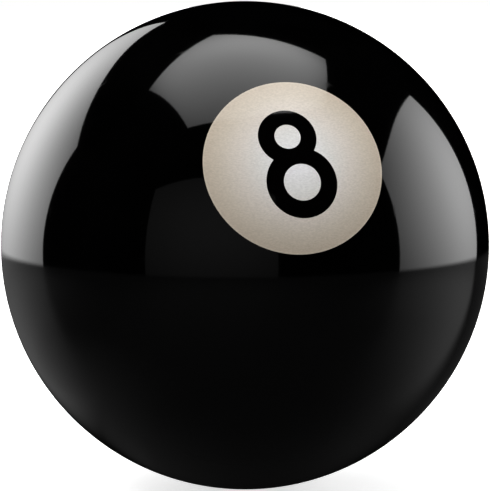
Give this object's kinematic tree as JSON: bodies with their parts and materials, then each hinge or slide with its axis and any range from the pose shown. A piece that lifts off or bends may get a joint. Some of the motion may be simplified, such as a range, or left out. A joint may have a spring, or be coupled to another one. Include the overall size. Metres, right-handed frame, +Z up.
{
  "type": "numbered pool ball",
  "caption": "Solid polished sphere, black, with a round ivory number disc and a black figure 8 let in flush at each end of one diameter.",
  "frame": {"origin": "centre of the ball", "axes": "+Z up, -Z down to the point the ball rests on; the ball lies as it was left, so its number axis leaves the front disc towards -Y, turned 12.1 degrees towards +X and lifted 24 degrees"},
  "size_m": [0.0572, 0.0572, 0.0572],
  "materials": {
    "black_resin": "polished",
    "ivory_resin": "polished",
    "numeral_resin": "polished"
  },
  "bodies": {
    "root": {"ball_body": "black_resin", "number_disc_front": "ivory_resin", "numeral_front": "numeral_resin", "number_disc_back": "ivory_resin", "numeral_back": "numeral_resin"}
  },
  "joints": []
}
